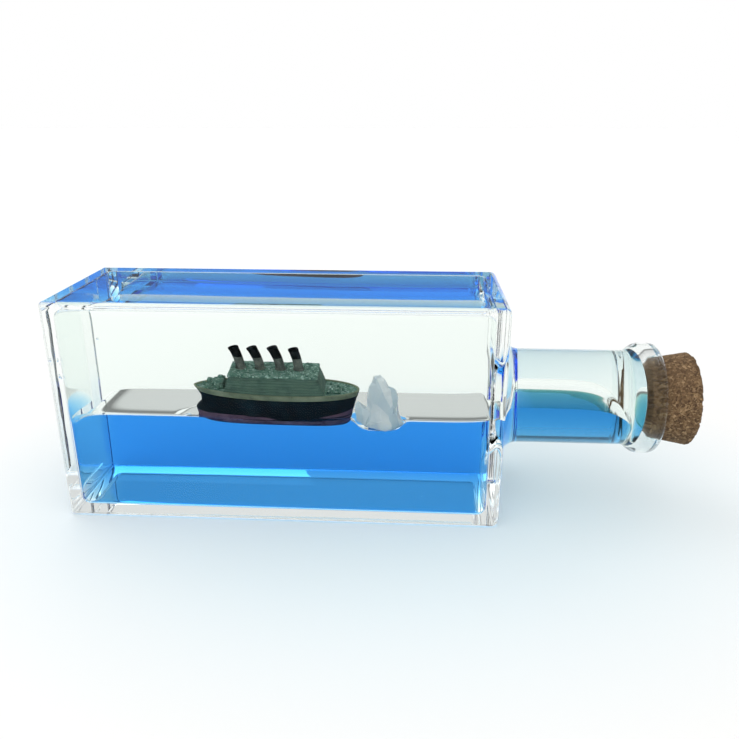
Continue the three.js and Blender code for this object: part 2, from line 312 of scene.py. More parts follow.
IOR_GLASS, IOR_OIL, IOR_SILICONE, IOR_WATER = 1.5, 1.40, 1.40, 1.333
GLASS_TINT, PLUG_TINT = srgb(248, 252, 250), srgb(246, 250, 250)
CAST_WAVES = 0.05  # strength of the slow waves in moulded glass and silicone

# The slots of the bottle and of the plug: against air, oil, water, and each other.
glass = [clear_material("glass", IOR_GLASS, GLASS_TINT, CAST_WAVES),
         clear_material("glass_on_oil", IOR_GLASS / IOR_OIL, GLASS_TINT, CAST_WAVES),
         clear_material("glass_on_water", IOR_GLASS / IOR_WATER, GLASS_TINT, CAST_WAVES),
         clear_material("glass_on_plug", IOR_GLASS / IOR_SILICONE, GLASS_TINT)]
silicone = [clear_material("plug", IOR_SILICONE, PLUG_TINT, CAST_WAVES),
            clear_material("plug_on_oil", IOR_SILICONE / IOR_OIL, PLUG_TINT),
            clear_material("plug_on_water", IOR_SILICONE / IOR_WATER, PLUG_TINT),
            clear_material("plug_on_glass", 1.0, PLUG_TINT)]
oil_skin = clear_material("oil", 1.0)


def meeting_material():
    """Where oil meets water; in the neck the surface is tinted greener and darker, painted shade standing
    in for the shaded floor seen through it.
    """
    nodes = Nodes("oil_on_water")
    start = SHOULDER * MM
    in_neck = nodes.span(nodes.axis("X"), start - 0.001, start + 0.009)
    nodes.set(Base_Color=nodes.mix(in_neck, WHITE, NECK_PAINTED_SHADE))
    nodes.set(IOR=IOR_OIL / IOR_WATER, Transmission_Weight=1.0, Roughness=0.0, Specular_Tint=SOFT_GLINT)
    return nodes.material


oil_on_water = meeting_material()


def water_material(name, color, density):
    nodes = Nodes(name)
    nodes.set(Base_Color=WHITE, IOR=1.0, Transmission_Weight=1.0, Roughness=0.0)
    volume = nodes.add("VolumeAbsorption", {"Color": color, "Density": density})
    nodes.tree.links.new(volume.outputs[0], nodes.output.inputs["Volume"])
    return nodes.material


water_skin = water_material("water", (0.123, 0.69, 0.98, 1), 95.0)
# Painted shade: the water in the neck absorbs about twice as strongly as in the body, for the shaded floor
# seen through the neck.
neck_water_painted_shade = water_material("water_in_neck", (0.123, 0.66, 0.90, 1), 180.0)

IMMERSED = 1.06  # paint and resin against the oil round them


def paint(name, base, light, dark, mottle, roughness, bump=0.2, height=0.05):
    """Brushed model paint: mottled tone, fine pits and uneven gloss."""
    nodes = Nodes(name)
    broad = nodes.noise(mottle, 5.0, 0.6)
    fine = nodes.noise(mottle * 6, 3.0, 0.6)
    tone = nodes.ramp(broad, [(0.32, dark), (0.5, base), (0.7, light)])
    nodes.set(Base_Color=nodes.mix(nodes.span(fine, 0.55, 0.75, 0.0, 0.35), tone, light))
    nodes.set(Roughness=nodes.span(fine, 0.3, 0.7, roughness - 0.1, roughness + 0.15))
    nodes.set(IOR=IMMERSED)
    nodes.bump(fine, bump, height)
    return nodes


# --- where the oil meets the water ---

SHIP_X, SHIP_Y, SHIP_Z = -27.8, -8.25, 28.2
BERG_X, BERG_Y, BERG_Z = 0.6, -12.75, 27.0
LEVEL, NECK_LEVEL, SHIP_LEVEL, BERG_LEVEL = 28.5, 32.7, 29.8, 27.5
CREEP = 4.0  # how far from the glass the surface starts to climb
inner_base = BASE + BASE_WALL
inner_shoulder = SHOULDER - SHOULDER_WALL
inner_depth = HALF_DEPTH - WALL
inner_height = HALF_HEIGHT - WALL


def hollow(x, y, centre_x, centre_y, half_length, half_width, reach):
    """1 under a floating thing, falling smoothly to 0 at that reach from its outline."""
    across, along = (y - centre_y) / half_width, (x - centre_x) / half_length
    radius = (abs(across) ** 2.4 + abs(along) ** 2.4) ** (1 / 2.4)
    size = math.hypot(x - centre_x, y - centre_y)
    distance = size * (1 - 1 / radius) if radius > 1e-6 else -half_width
    return 1 - smoothstep(distance / reach)


def level(x, y):
    """Height of the liquids' meeting surface: it climbs at the front glass and falls at both ends."""
    to_end = math.exp(-max(0.0, SHOULDER + LIQUID_END - x) / CREEP)
    in_neck = smoothstep((x - inner_shoulder) / 5.0)
    body = LEVEL + 3.0 * math.exp(-max(0.0, y + inner_depth) / CREEP)
    body -= 3.4 * math.exp(-(x - inner_base) / 2.6)
    body += 0.8 * math.exp(-abs(x - inner_shoulder) / CREEP)
    towards_back = max(0.0, (y + 2.0) / (BORE + 2.0))
    towards_front = max(0.0, (-4.0 - y) / (BORE - 4.0))
    neck = NECK_LEVEL - 3.4 * towards_back ** 1.8 * (1 - 0.8 * to_end)
    neck = neck - 0.45 * towards_front ** 2 - 7.5 * to_end
    height = body + in_neck * (neck - body)
    ship = hollow(x, y, SHIP_X - 1.0, SHIP_Y, 24.0, 9.5, 3.5)
    height += ship * (SHIP_LEVEL - height)
    berg = hollow(x, y, BERG_X + 0.1, BERG_Y, 5.2, 4.8, 2.8)
    height += berg * (BERG_LEVEL - height)
    return height


# --- rings round the bottle's axis ---

SIDE, CORNER = 12, 8  # steps along a side and round a corner
HALF_SIDE = 40.0  # degrees either side within which a circle's meeting line may lie
LINE_REACH = 0.6  # the same, as a part of the radius
QUARTER = SIDE + CORNER
POINTS = 4 * QUARTER
BACK_LINE = SIDE // 2  # the ring points that lie where the two liquids meet the glass
FRONT_LINE = BACK_LINE + 2 * QUARTER


def spread(start, middle, end):
    """Values along a side of a ring, with one of them at the middle value."""
    half = SIDE // 2
    return ([start + (middle - start) * i / half for i in range(half)]
            + [middle + (end - middle) * i / half for i in range(half + 1)])


def rectangle_ring(half_width, half_height, corner, back, front):
    """Points (y, z from the axis) and normals of a rounded rectangle, anticlockwise from the neck."""
    points, normals = [], []
    right, top = half_width - corner, half_height - corner
    sides = [
        ([(half_width, z) for z in spread(-top, back, top)], (1, 0)),
        ([(y, half_height) for y in spread(right, 0, -right)], (0, 1)),
        ([(-half_width, z) for z in spread(top, front, -top)], (-1, 0)),
        ([(y, -half_height) for y in spread(-right, 0, right)], (0, -1)),
    ]
    centres = [(right, top), (-right, top), (-right, -top), (right, -top)]
    for quarter, ((side, normal), centre) in enumerate(zip(sides, centres)):
        points += side
        normals += [normal] * len(side)
        for k in range(1, CORNER):
            angle = math.radians(90 * (quarter + k / CORNER))
            normals.append((math.cos(angle), math.sin(angle)))
            points.append((centre[0] + corner * normals[-1][0], centre[1] + corner * normals[-1][1]))
    return points, normals


def circle_ring(radius, back, front, half_depth=None):
    """The same for a circle, or for an ellipse with that half depth."""
    squeeze = 1.0 if half_depth is None else half_depth / radius
    step = (90 - 2 * HALF_SIDE) / CORNER
    angles = []
    lines = [math.degrees(math.asin(back / radius)), 90, 180 - math.degrees(math.asin(front / radius)), 270]
    for quarter, middle in enumerate(lines):
        centre = 90 * quarter
        angles += spread(centre - HALF_SIDE, middle, centre + HALF_SIDE)
        angles += [centre + HALF_SIDE + step * k for k in range(1, CORNER)]
    normals = [(math.cos(math.radians(a)), math.sin(math.radians(a))) for a in angles]
    return [(radius * squeeze * y, radius * z) for y, z in normals], normals


def arc(centre, radius, start, end, steps):
    """(radius, distance along) points with their directions from the centre."""
    result = []
    for i in range(steps + 1):
        angle = math.radians(start + (end - start) * i / steps)
        out, along = math.cos(angle), math.sin(angle)
        result.append((centre[0] + radius * out, centre[1] + radius * along, out, along))
    return result


class Station:
    """One ring: x, its shape (three numbers for a rectangle, two for an ellipse, one for a circle),
    and how much of its normal is radial and along X."""

    def __init__(self, x, shape, out, along):
        self.x, self.shape, self.out, self.along = x, shape, out, along

    def at_line(self, front):
        """Height above the axis of the liquids' meeting line on this ring."""
        reach = self.shape[-1] if len(self.shape) == 2 else self.shape[0]
        height = level(self.x, -reach if front else reach) - AXIS
        if len(self.shape) == 3:
            return height
        return max(-LINE_REACH * reach, min(LINE_REACH * reach, height))

    def points(self):
        back, front = self.at_line(False), self.at_line(True)
        if len(self.shape) == 3:
            return rectangle_ring(*self.shape, back, front)
        return circle_ring(self.shape[0], back, front, *self.shape[1:])


def neck_stations(points, sign=1, inset=0.0):
    """Stations over an arc's points, which are measured from the shoulder."""
    return [Station(SHOULDER + along, (radius - inset,), sign * out, sign * on)
            for radius, along, out, on in points]


def rounded_end(face, direction, half_width, half_height, corner, rounding, steps, inner=False):
    """Stations over a quarter-round, from the flat end face towards the walls."""
    result = []
    for i in range(steps + 1):
        angle = math.radians(90 * i / steps)
        inset = rounding * (1 - math.sin(angle))
        shape = (half_width - inset, half_height - inset, corner * (1 - 0.8 * inset / rounding))
        sign = -1 if inner else 1
        result.append(Station(face - direction * rounding * (1 - math.cos(angle)), shape,
                              sign * math.sin(angle), sign * direction * math.cos(angle)))
    return result


def cavity(inset, wall_step, bore_step, end):
    """Stations of the space inside the glass, from the base to that distance along the bore."""
    width, height = inner_depth - inset, inner_height - inset
    low, high = inner_base + inset, inner_shoulder - inset
    stations = rounded_end(low, -1, width, height, INNER_EDGE, INNER_EDGE, 8, inner=True)
    count = round((high - low - 2 * INNER_EDGE) / wall_step)
    for i in range(1, count):
        x = low + INNER_EDGE + (high - low - 2 * INNER_EDGE) * i / count
        stations.append(Station(x, (width, height, INNER_EDGE), -1, 0))
    stations += rounded_end(high, 1, width, height, INNER_EDGE, INNER_EDGE, 8, inner=True)[::-1]
    start = INNER_FILLET - SHOULDER_WALL
    for radius, along, out, on in arc((BORE + INNER_FILLET, start), INNER_FILLET + inset, 270, 180, 14):
        squeeze = 2.4 * ((radius - BORE) / INNER_FILLET) ** 3
        stations.append(Station(SHOULDER + along, (radius, radius - squeeze), out, on))
    count = round((end - start) / bore_step)
    for i in range(1, count + 1):
        stations.append(Station(SHOULDER + start + (end - start) * i / count, (BORE - inset,), -1, 0))
    return stations


# --- the bottle ---


def bottle_stations():
    """Stations over the outside to the plug, and then inside from the plug back to the base."""
    body = (HALF_DEPTH, HALF_HEIGHT, OUTER_CORNER)
    outer = rounded_end(BASE, -1, *body, BASE_ROUND, 8)
    outer += rounded_end(SHOULDER, 1, *body, SHOULDER_ROUND, 10)[::-1]
    neck = neck_stations(arc((NECK_RADIUS + ROOT_FILLET, ROOT_FILLET), ROOT_FILLET, 270, 180, 14), -1)
    neck.append(Station(SHOULDER + NECK_END, (NECK_RADIUS,), 1, 0))
    for i in range(11):
        t = i / 10
        slope = math.atan(FLARE_RISE * math.pi / 2 * math.sin(math.pi * t) / FLARE_LENGTH)
        radius = NECK_RADIUS + FLARE_RISE * (0.5 - 0.5 * math.cos(math.pi * t))
        x = SHOULDER + FLARE_START + FLARE_LENGTH * t
        neck.append(Station(x, (radius,), math.cos(slope), -math.sin(slope)))
    lip_end = bottle_high.x - SHOULDER
    lip = arc((LIP_RADIUS - LIP_ROUND, lip_end - LIP_ROUND), LIP_ROUND, 0, 90, 8)
    lip += arc((MOUTH_RADIUS + MOUTH_ROUND, lip_end - MOUTH_ROUND), MOUTH_ROUND, 90, 180, 6)
    neck += neck_stations(lip)
    neck += [Station(SHOULDER + TAPER_END, (TAPER_RADIUS,), -0.99, 0.14),
             Station(SHOULDER + PLUG_END, (BORE,), -0.995, 0.07)]
    inner = [Station(SHOULDER + PLUG_END - PLUG_RING, (BORE,), -1, 0)]
    inner += cavity(0.0, 2.0, 2.0, LIQUID_END - NOSE)[::-1]
    return outer + neck, inner


def ring_mesh(stations):
    vertices, normals = [], []
    for station in stations:
        points, outward = station.points()
        for (y, z), (ny, nz) in zip(points, outward):
            vertices.append((station.x, y, AXIS + z))
            normals.append((station.along, station.out * ny, station.out * nz))
    return vertices, normals


def line_slots(rings, wet_from, oil, water):
    """Slots of the faces between rings: 0 where dry, then oil above and water below."""
    wet = [oil if BACK_LINE <= i < FRONT_LINE else water for i in range(POINTS)]
    return [0] * (wet_from * POINTS) + wet * (rings - 1 - wet_from)


def cap_faces(first, flip=False):
    """The two halves of a flat end, above and below the meeting line."""
    above = [first + i for i in range(BACK_LINE, FRONT_LINE + 1)]
    below = [first + i % POINTS for i in range(FRONT_LINE, POINTS + BACK_LINE + 1)]
    return [above[::-1], below[::-1]] if flip else [above, below]


# Places in the glass of small flat bubbles: x, y, z and size.
bubbles = [
    (-86.0, -13.5, 45.2, 0.42), (-85.9, -12.6, 43.8, 0.22), (-85.8, -14.8, 40.9, 0.50),
    (-85.7, -13.8, 40.2, 0.30), (-86.1, -5.2, 50.1, 0.24), (-72.4, -20.1, 52.8, 0.30),
    (31.8, -12.0, 47.6, 0.35), (32.5, -14.2, 12.4, 0.28), (12.5, -20.3, 8.9, 0.18),
]


def add_bubbles(vertices, normals, faces, slots):
    for x, y, z, size in bubbles:
        ball = bmesh.new()
        bmesh.ops.create_icosphere(ball, subdivisions=2, radius=1.0)
        ball.verts.ensure_lookup_table()
        start = len(vertices)
        squash = (0.55, 1.0, 1.25) if abs(y) < 17 else (1.2, 0.55, 1.0)
        for v in ball.verts:
            vertices.append(tuple(c + size * s * k for c, s, k in zip((x, y, z), v.co, squash)))
            normals.append(tuple(-Vector([s / k for s, k in zip(v.co, squash)]).normalized()))
        for face in ball.faces:
            faces.append([start + v.index for v in reversed(face.verts)])
            slots.append(0)
        ball.free()


def make_bottle():
    outer, inner = bottle_stations()
    stations = outer + inner
    vertices, normals = ring_mesh(stations)
    faces = loft_faces(len(stations), POINTS)
    slots = line_slots(len(stations), len(outer) + 1, 1, 2)
    plug_ring = (len(outer) - 1) * POINTS
    slots[plug_ring:plug_ring + 2 * POINTS] = [3] * (2 * POINTS)
    faces += cap_faces(0, flip=True) + cap_faces((len(stations) - 1) * POINTS)
    slots += [0, 0, 1, 2]
    add_bubbles(vertices, normals, faces, slots)
    piece = make_object("glass_bottle", vertices, faces, glass, slots)
    piece.data.normals_split_custom_set_from_vertices(normals)
    finish_piece(piece, "bottle", "bottle")


make_bottle()

# --- the liquids ---

ACROSS = 48  # steps across the meeting surface


def liquid_stations():
    nose = arc((BORE - NOSE, LIQUID_END - NOSE), NOSE, 0, 90, 10)[1:]
    return cavity(SKIN, 1.0, 1.5, LIQUID_END - NOSE) + neck_stations(nose, 1, SKIN)


def make_liquid(name, above, materials, stations, node):
    """The oil above the meeting surface, or the water a hair below it."""
    vertices = []
    drop = 0.0 if above else 0.02
    arc_count = FRONT_LINE - BACK_LINE + 1 if above else POINTS - (FRONT_LINE - BACK_LINE) + 1
    count = arc_count + ACROSS - 1
    for station in stations:
        points, _ = station.points()
        if above:
            ring = points[BACK_LINE:FRONT_LINE + 1]
        else:
            ring = points[FRONT_LINE:] + points[:BACK_LINE + 1]
        ring = [(y, AXIS + z) for y, z in ring]
        ring[0] = (ring[0][0], ring[0][1] - drop)
        ring[-1] = (ring[-1][0], ring[-1][1] - drop)
        start, end = ring[-1], ring[0]
        for i in range(1, ACROSS):
            t = i / ACROSS
            y = start[0] + (end[0] - start[0]) * t
            ends = level(station.x, start[0]) * (1 - t) + level(station.x, end[0]) * t
            chord = start[1] * (1 - t) + end[1] * t
            ring.append((y, level(station.x, y) - ends + chord))
        vertices += [(station.x, y, z) for y, z in ring]
    faces = capped_loft(len(stations), count)
    slots = [1 if i >= arc_count - 1 else 0 for i in range(count)] * (len(stations) - 1) + [0, 0]
    slots = slots if len(materials) > 1 else None
    piece = make_object(name, vertices, faces, materials, slots, angle=40)
    finish_piece(piece, "bottle", node)


def split_stations(x):
    """The liquids' stations up to that plane and from it, with a hair's gap between."""
    stations = liquid_stations()
    here = next(i for i, station in enumerate(stations) if station.x >= x)
    before, after = stations[:here], stations[here:]
    meeting = after[0]
    before.append(Station(meeting.x - 0.01, meeting.shape, meeting.out, meeting.along))
    return before, after


in_body, in_neck = split_stations(SHOULDER + INNER_FILLET - SHOULDER_WALL)
make_liquid("oil_body", True, [oil_skin, oil_on_water], liquid_stations(), "clear_oil")
make_liquid("water_body", False, [water_skin], in_body, "blue_water")
make_liquid("water_neck", False, [neck_water_painted_shade], in_neck, "blue_water")

# --- the plug and the cork ---


def make_plug():
    """A clear plug cast onto the glass: only its two ends show."""
    radius = BORE - SKIN
    dish = arc((BORE - NOSE, LIQUID_END - NOSE), NOSE + SKIN, 90, 4, 9)
    stations = neck_stations(dish, -1, SKIN)
    wet = len(stations) - 1
    wall = [(radius, LIQUID_END - NOSE + 0.6), (radius, PLUG_END - PLUG_RING), (radius, PLUG_END - 0.02),
            (radius - 0.02, PLUG_END), (radius - 0.3, PLUG_END)]
    stations += [Station(SHOULDER + along, (r,), 1, 0) for r, along in wall]
    vertices, _ = ring_mesh(stations)
    faces = loft_faces(len(stations), POINTS)
    slots = line_slots(wet + 1, 0, 1, 2) + [3] * (3 * POINTS)
    slots += [0] * (len(faces) - len(slots))
    faces += cap_faces(0, flip=True) + cap_faces((len(stations) - 1) * POINTS)
    slots += [1, 2, 0, 0]
    piece = make_object("neck_plug", vertices, faces, silicone, slots, angle=35)
    finish_piece(piece, "bottle", "inner_seal")


make_plug()


GRANULES = 1600.0  # cells in a metre of cork


def granules(point, scale, seed):
    """Depth of the seams between cork granules, and a steady random number for each granule."""
    distances, points = noise.voronoi(Vector(point) / scale + Vector((seed, 0, 0)))
    seam = max(0.0, 1 - (distances[1] - distances[0]) / 0.22)
    return seam, noise.cell(points[0] * 7.31 + Vector((seed, 3.3, 1.7)))


def make_cork():
    start, end = SHOULDER + CORK_START, cad_bounds[1][0] / MM
    inner, outer, chamfer, sides = 10.95, 13.15, 0.7, 220
    profile = [(0.02, start), (4, start), (8, start), (inner - chamfer, start), (inner - 0.2, start + 0.2),
               (inner, start + chamfer)]
    rows, end_rows = 44, 40
    for i in range(1, rows):
        t = i / rows
        profile.append((inner + (outer - inner) * t, start + 0.7 + (end - start - 1.3) * t))
    profile += [(outer - chamfer + chamfer * math.cos(a), end - chamfer + chamfer * math.sin(a))
                for a in (math.radians(d) for d in (0, 30, 60, 90))]
    profile += [((outer - chamfer) * (1 - i / end_rows), end) for i in range(1, end_rows)]
    vertices = [(x, radius * math.cos(a), AXIS + radius * math.sin(a))
                for radius, x in profile for a in turn(sides)]
    piece = make_object("cork", vertices, capped_loft(len(profile), sides), [cork_material()])

    def offset(point):
        seam, chance = granules(point, 1.0, 4.0)
        fine, _ = granules(point, 0.5, 9.0)
        depth = 0.09 * seam + 0.05 * fine + 0.08 * abs(fractal(point, 2.5, 3))
        if chance > 0.86:
            depth += 0.16 * (1 - seam)
        edge = math.hypot(point.y, point.z - AXIS) > outer - 1.3 and point.x > end - 1.4
        if edge:
            depth += 0.30 * max(0.0, fractal(point, 1.6, 2, 5.0)) + (0.25 if chance > 0.65 else 0)
        if point.x < start + 5.0:
            depth *= 0.45
        return -depth - 0.02
    displace(piece, offset)
    finish_piece(piece, "cork", "cork_stopper")


def cork_material():
    nodes = Nodes("cork")
    warp = nodes.add("Mix", data_type="VECTOR")
    ripples = nodes.add("TexNoise", {"Vector": nodes.place, "Scale": 900.0}).outputs["Color"]
    nodes.put(warp.inputs["Factor"], 0.0012)
    nodes.put(warp.inputs[4], nodes.place)
    nodes.put(warp.inputs[5], ripples)
    place = warp.outputs[1]
    nodes.set(Base_Color=nodes.ramp(nodes.cells(GRANULES, place), [
        (0.0, srgb(66, 49, 33)), (0.2, srgb(86, 66, 45)), (0.5, srgb(104, 81, 56)),
        (0.8, srgb(124, 99, 70)), (1.0, srgb(160, 132, 97))]))
    seam = nodes.seams(GRANULES, place)
    nodes.cover(nodes.span(seam, 0.0, 0.12, 0.4, 0.0), srgb(60, 44, 31))
    nodes.cover(nodes.span(nodes.noise(110.0, 4.0), 0.4, 0.7, 0.0, 0.4), srgb(92, 71, 50))
    nodes.cover(nodes.span(nodes.noise(2600.0, 3.0, 0.7), 0.57, 0.65, 0.0, 0.8), srgb(38, 28, 21))
    nodes.cover(nodes.span(nodes.noise(2000.0, 2.0, 0.6, 1.0), 0.58, 0.70, 0.0, 0.7), srgb(158, 132, 102))
    nodes.set(Roughness=0.88, Specular_IOR_Level=0.25)
    height = nodes.math("ADD", nodes.span(seam, 0.0, 0.12, 0.0, 1.0), nodes.noise(3200.0, 4.0, 0.7))
    nodes.bump(height, 0.6, 0.16)
    return nodes.material


make_cork()

# --- the ship, in its own frame: +X forward, +Z up from the keel ---

ship_matrix = (Matrix.Translation(Vector((SHIP_X, SHIP_Y, SHIP_Z)) * MM)
               @ Matrix.Rotation(math.radians(2.5), 4, "Z")
               @ Matrix.Rotation(math.radians(1.3), 4, "Y")
               @ Matrix.Rotation(math.radians(3.0), 4, "X"))

HALF_BEAM, WIDEST = 9.1, 2.0
PLAN_POWERS = {True: (0.85, 1.0), False: (1.0, 1.15)}  # along and across; True is fore
# height, stern, bow, fullness, bluntness
hull_levels = [
    (0.0, -20.4, 20.2, 0.80, 0.6),
    (1.0, -21.7, 20.6, 0.88, 0.6),
    (3.0, -22.3, 20.9, 0.92, 0.7),
    (4.8, -20.8, 21.4, 0.94, 0.8),
    (6.3, -20.9, 21.8, 0.95, 0.9),
    (7.8, -21.8, 22.3, 0.97, 1.0),
    (9.3, -22.8, 22.6, 1.00, 1.0),
]


def hull_level(z):
    heights = [row[0] for row in hull_levels]
    above = max(1, next((i for i, height in enumerate(heights) if height >= z), len(heights) - 1))
    low, high = hull_levels[above - 1], hull_levels[above]
    t = min(1.0, max(0.0, (z - low[0]) / (high[0] - low[0])))
    eased = 0.5 * t + 0.5 * smoothstep(t)
    return [a + (b - a) * eased for a, b in zip(low[1:], high[1:])]


def plan_point(angle, z, inset):
    stern, bow, fullness, bluntness = hull_level(z)
    c, s = math.cos(angle), math.sin(angle)
    along, across = PLAN_POWERS[c > 0]
    reach = abs((bow if c > 0 else stern) - WIDEST) - inset
    breadth = HALF_BEAM * fullness - inset
    x = WIDEST + math.copysign(reach * abs(c) ** (along * bluntness), c)
    y = math.copysign(breadth * abs(s) ** (across * bluntness), s)
    return x, y


HULL_SIDES = 180


def plan_ring(z, height=None, inset=0.0):
    height = z if height is None else height
    return [(*plan_point(angle, z, inset), height) for angle in turn(HULL_SIDES)]


def ship_loft(name, rings, materials, node, angle=40, slots=None):
    """A closed piece of the ship over rings of points."""
    vertices = [p for ring in rings for p in ring]
    faces = capped_loft(len(rings), len(rings[0]))
    piece = make_object(name, vertices, faces, materials, slots, ship_matrix, angle)
    finish_piece(piece, "ship", node)


def steps(low, high, count):
    return [low + (high - low) * i / count for i in range(count + 1)]


KEEL_TOP, HULL_TOP, DECK_TOP, HOUSE_TOP, ROOF_TOP = 3.0, 7.8, 9.3, 13.7, 14.3

red_dark, red, red_light = srgb(74, 56, 74), srgb(98, 77, 95), srgb(116, 93, 111)
black_dark, black, black_light = srgb(2, 14, 21), srgb(4, 21, 32), srgb(18, 37, 47)
khaki_dark, khaki, khaki_light = srgb(104, 114, 96), srgb(122, 134, 112), srgb(140, 150, 128)
house_lap_shade, house, house_light = srgb(58, 82, 74), srgb(86, 112, 101), srgb(106, 132, 120)
green_dark, green, green_painted_sparkle = srgb(52, 82, 73), srgb(92, 126, 114), srgb(178, 206, 197)


def keel_material():
    """Red bottom paint with a wavering edge, and black over it."""
    nodes = paint("keel_paint", red, red_light, red_dark, 320.0, 0.55)
    wobble = nodes.span(nodes.noise(110.0, 2.0), 0.3, 0.7, -0.0003, 0.0003)
    edge = nodes.math("ADD", nodes.axis("Z"), wobble)
    from_dip = nodes.math("ABSOLUTE", nodes.math("SUBTRACT", nodes.axis("X"), 0.007))
    edge = nodes.math("SUBTRACT", edge, nodes.span(from_dip, 0.002, 0.016, 0.0, 0.0014))
    nodes.cover(nodes.span(edge, 0.0016, 0.0018), black)
    return nodes.material


def hull_material():
    """Black, with the red bottom paint running up at the bow."""
    nodes = paint("hull_paint", black, black_light, black_dark, 240.0, 0.42)
    rise = nodes.span(nodes.axis("X"), 0.009, 0.021, 0.0026, 0.0046)
    nodes.cover(nodes.span(nodes.math("SUBTRACT", rise, nodes.axis("Z")), 0.0, 0.0002), red)
    return nodes.material


hull_paint = hull_material()
band_paint = paint("deck_paint", khaki, khaki_light, khaki_dark, 300.0, 0.55).material


def floor_paint_nodes(name):
    """Rough green deck paint with pale specks, which are painted highlights."""
    nodes = paint(name, green, srgb(120, 150, 138), green_dark, 620.0, 0.5, 0.5, 0.10)
    # Painted highlights: pale green specks standing in for sparkles on the rough paint.
    nodes.cover(nodes.span(nodes.noise(1500.0, 3.0, 0.65), 0.57, 0.63, 0.0, 0.9), green_painted_sparkle)
    return nodes


green_paint = floor_paint_nodes("roof_paint").material

keel_rings = [plan_ring(0.0, 0.0, 0.5), plan_ring(0.0, 0.08, 0.12)]
keel_rings += [plan_ring(z) for z in steps(0.3, KEEL_TOP, 12)]
ship_loft("keel", keel_rings, [keel_material()], "ship_keel")
hull_rings = [plan_ring(z) for z in steps(KEEL_TOP, HULL_TOP, 22)]
ship_loft("hull", hull_rings, [hull_paint], "ship_hull")


SUNK = 0.42  # depth of the deck below its rim


def make_deck():
    """The khaki strake with a rounded rim round a slightly sunken deck."""
    rings = [plan_ring(HULL_TOP, HULL_TOP, -0.04)]
    rings += [plan_ring(z, inset=-0.06) for z in steps(HULL_TOP + 0.12, DECK_TOP - 0.2, 6)]
    rings += [plan_ring(DECK_TOP, DECK_TOP - down, inset) for down, inset in (
        (0.06, 0.0), (0.0, 0.14), (0.0, 0.42), (0.08, 0.55), (SUNK, 0.6))]
    wall = len(rings) - 1
    insets = (0.9, 1.3, 1.8, 2.4, 3.1, 3.9, 4.8, 5.8, 6.8, 7.8)
    rings += [plan_ring(DECK_TOP, DECK_TOP - SUNK, inset) for inset in insets]
    count = len(rings[0])
    rings = rings[:wall + 1] + [[(x, y, z + 0.07 * fractal((x, y, 0), 0.9, 3, 2.0)) for x, y, z in ring]
                                for ring in rings[wall + 1:]]
    slots = [0] * (wall * count) + [1] * ((len(rings) - 1 - wall) * count) + [0, 1]
    ship_loft("deck", rings, [band_paint, green_paint], "ship_deck", slots=slots)


make_deck()


def deck_half_breadth(x):
    """Half the deck's breadth at that distance along the ship."""
    fore = x > WIDEST
    _, stern, bow, _, _ = hull_levels[-1]
    power_along, power_across = PLAN_POWERS[fore]
    reach = abs((x - WIDEST) / ((bow if fore else stern) - WIDEST))
    cosine = min(1.0, reach) ** (1 / power_along)
    return HALF_BEAM * math.sqrt(1 - cosine * cosine) ** power_across


def house_ring(z, aft, fore, half_breadth, from_edge, out=0.0):
    """A ring over the deckhouse's stations, with the breadth limited by the deck under it."""
    side = [(x, min(half_breadth, deck_half_breadth(x) - from_edge)) for x in steps(aft, fore, 40)]
    near = [(x, -y - out, z) for x, y in side]
    far = [(x, y + out, z) for x, y in reversed(side)]
    ring = near + far
    corner = 0.35
    ring[0] = (aft + corner - out, ring[0][1], z)
    ring.insert(0, (aft - out, ring[0][1] + corner, z))
    middle = len(near)
    ring[middle] = (fore - corner + out, ring[middle][1], z)
    ring.insert(middle + 1, (fore + out, ring[middle][1] + corner, z))
    ring[middle + 2] = (fore + out, ring[middle + 2][1] - corner, z)
    ring.insert(middle + 3, (fore - corner + out, ring[middle + 2][1] + corner, z))
    ring[-1] = (aft + corner - out, ring[-1][1], z)
    ring.append((aft - out, ring[-1][1] - corner, z))
    return ring


def house_at(z, out=0.0):
    """The deckhouse's outline at a height: its walls lean inwards all round."""
    t = (z - DECK_TOP) / (HOUSE_TOP - DECK_TOP)

    def between(low, high):
        return low + (high - low) * t
    return house_ring(z, between(-13.6, -12.4), between(13.1, 11.3), between(8.6, 6.9),
                      between(0.5, 0.3), out=out)


PLANK = 0.72  # height of one plank


def house_material():
    nodes = paint("house_paint", house, srgb(84, 108, 98), srgb(70, 94, 86), 380.0, 0.5, 0.3, 0.06)
    streaks = nodes.noise(2400.0, 3.0, 0.6, place=nodes.stretched((0.12, 0.12, 1.0)))
    nodes.cover(nodes.span(streaks, 0.4, 0.7, 0.0, 0.6), house_light)
    # Painted shade: a dark line at the foot of each plank, where the lap above it would cast shade.
    planks = nodes.math("FRACT", nodes.math("DIVIDE", nodes.axis("Z"), PLANK * MM))
    nodes.cover(nodes.span(planks, 0.05, 0.3, 0.9, 0.0), house_lap_shade)
    return nodes.material


def make_house():
    """Walls of six overlapping planks between the deck and the boat deck."""
    foot = DECK_TOP - 0.45
    rings = [house_at(foot)]
    z = DECK_TOP + 0.05
    while z < HOUSE_TOP - 0.3:
        rings += [house_at(z, -0.09), house_at(z + 0.05, 0.07),
                  house_at(z + PLANK - 0.12), house_at(z + PLANK - 0.04, -0.09)]
        z += PLANK
    rings.append(house_at(HOUSE_TOP + 0.05))
    ship_loft("deckhouse", rings, [house_material()], "ship_deckhouse", 30)


make_house()


def box_points(low, high, chamfer):
    """Corners of a box with chamfered edges."""
    points = []
    for ends in itertools.product((0, 1), repeat=3):
        corner = [(low, high)[i][axis] for axis, i in enumerate(ends)]
        for axis in range(3):
            moved = [c + (chamfer if i == 0 else -chamfer) for c, i in zip(corner, ends)]
            moved[axis] = corner[axis]
            points.append(tuple(moved))
    return points


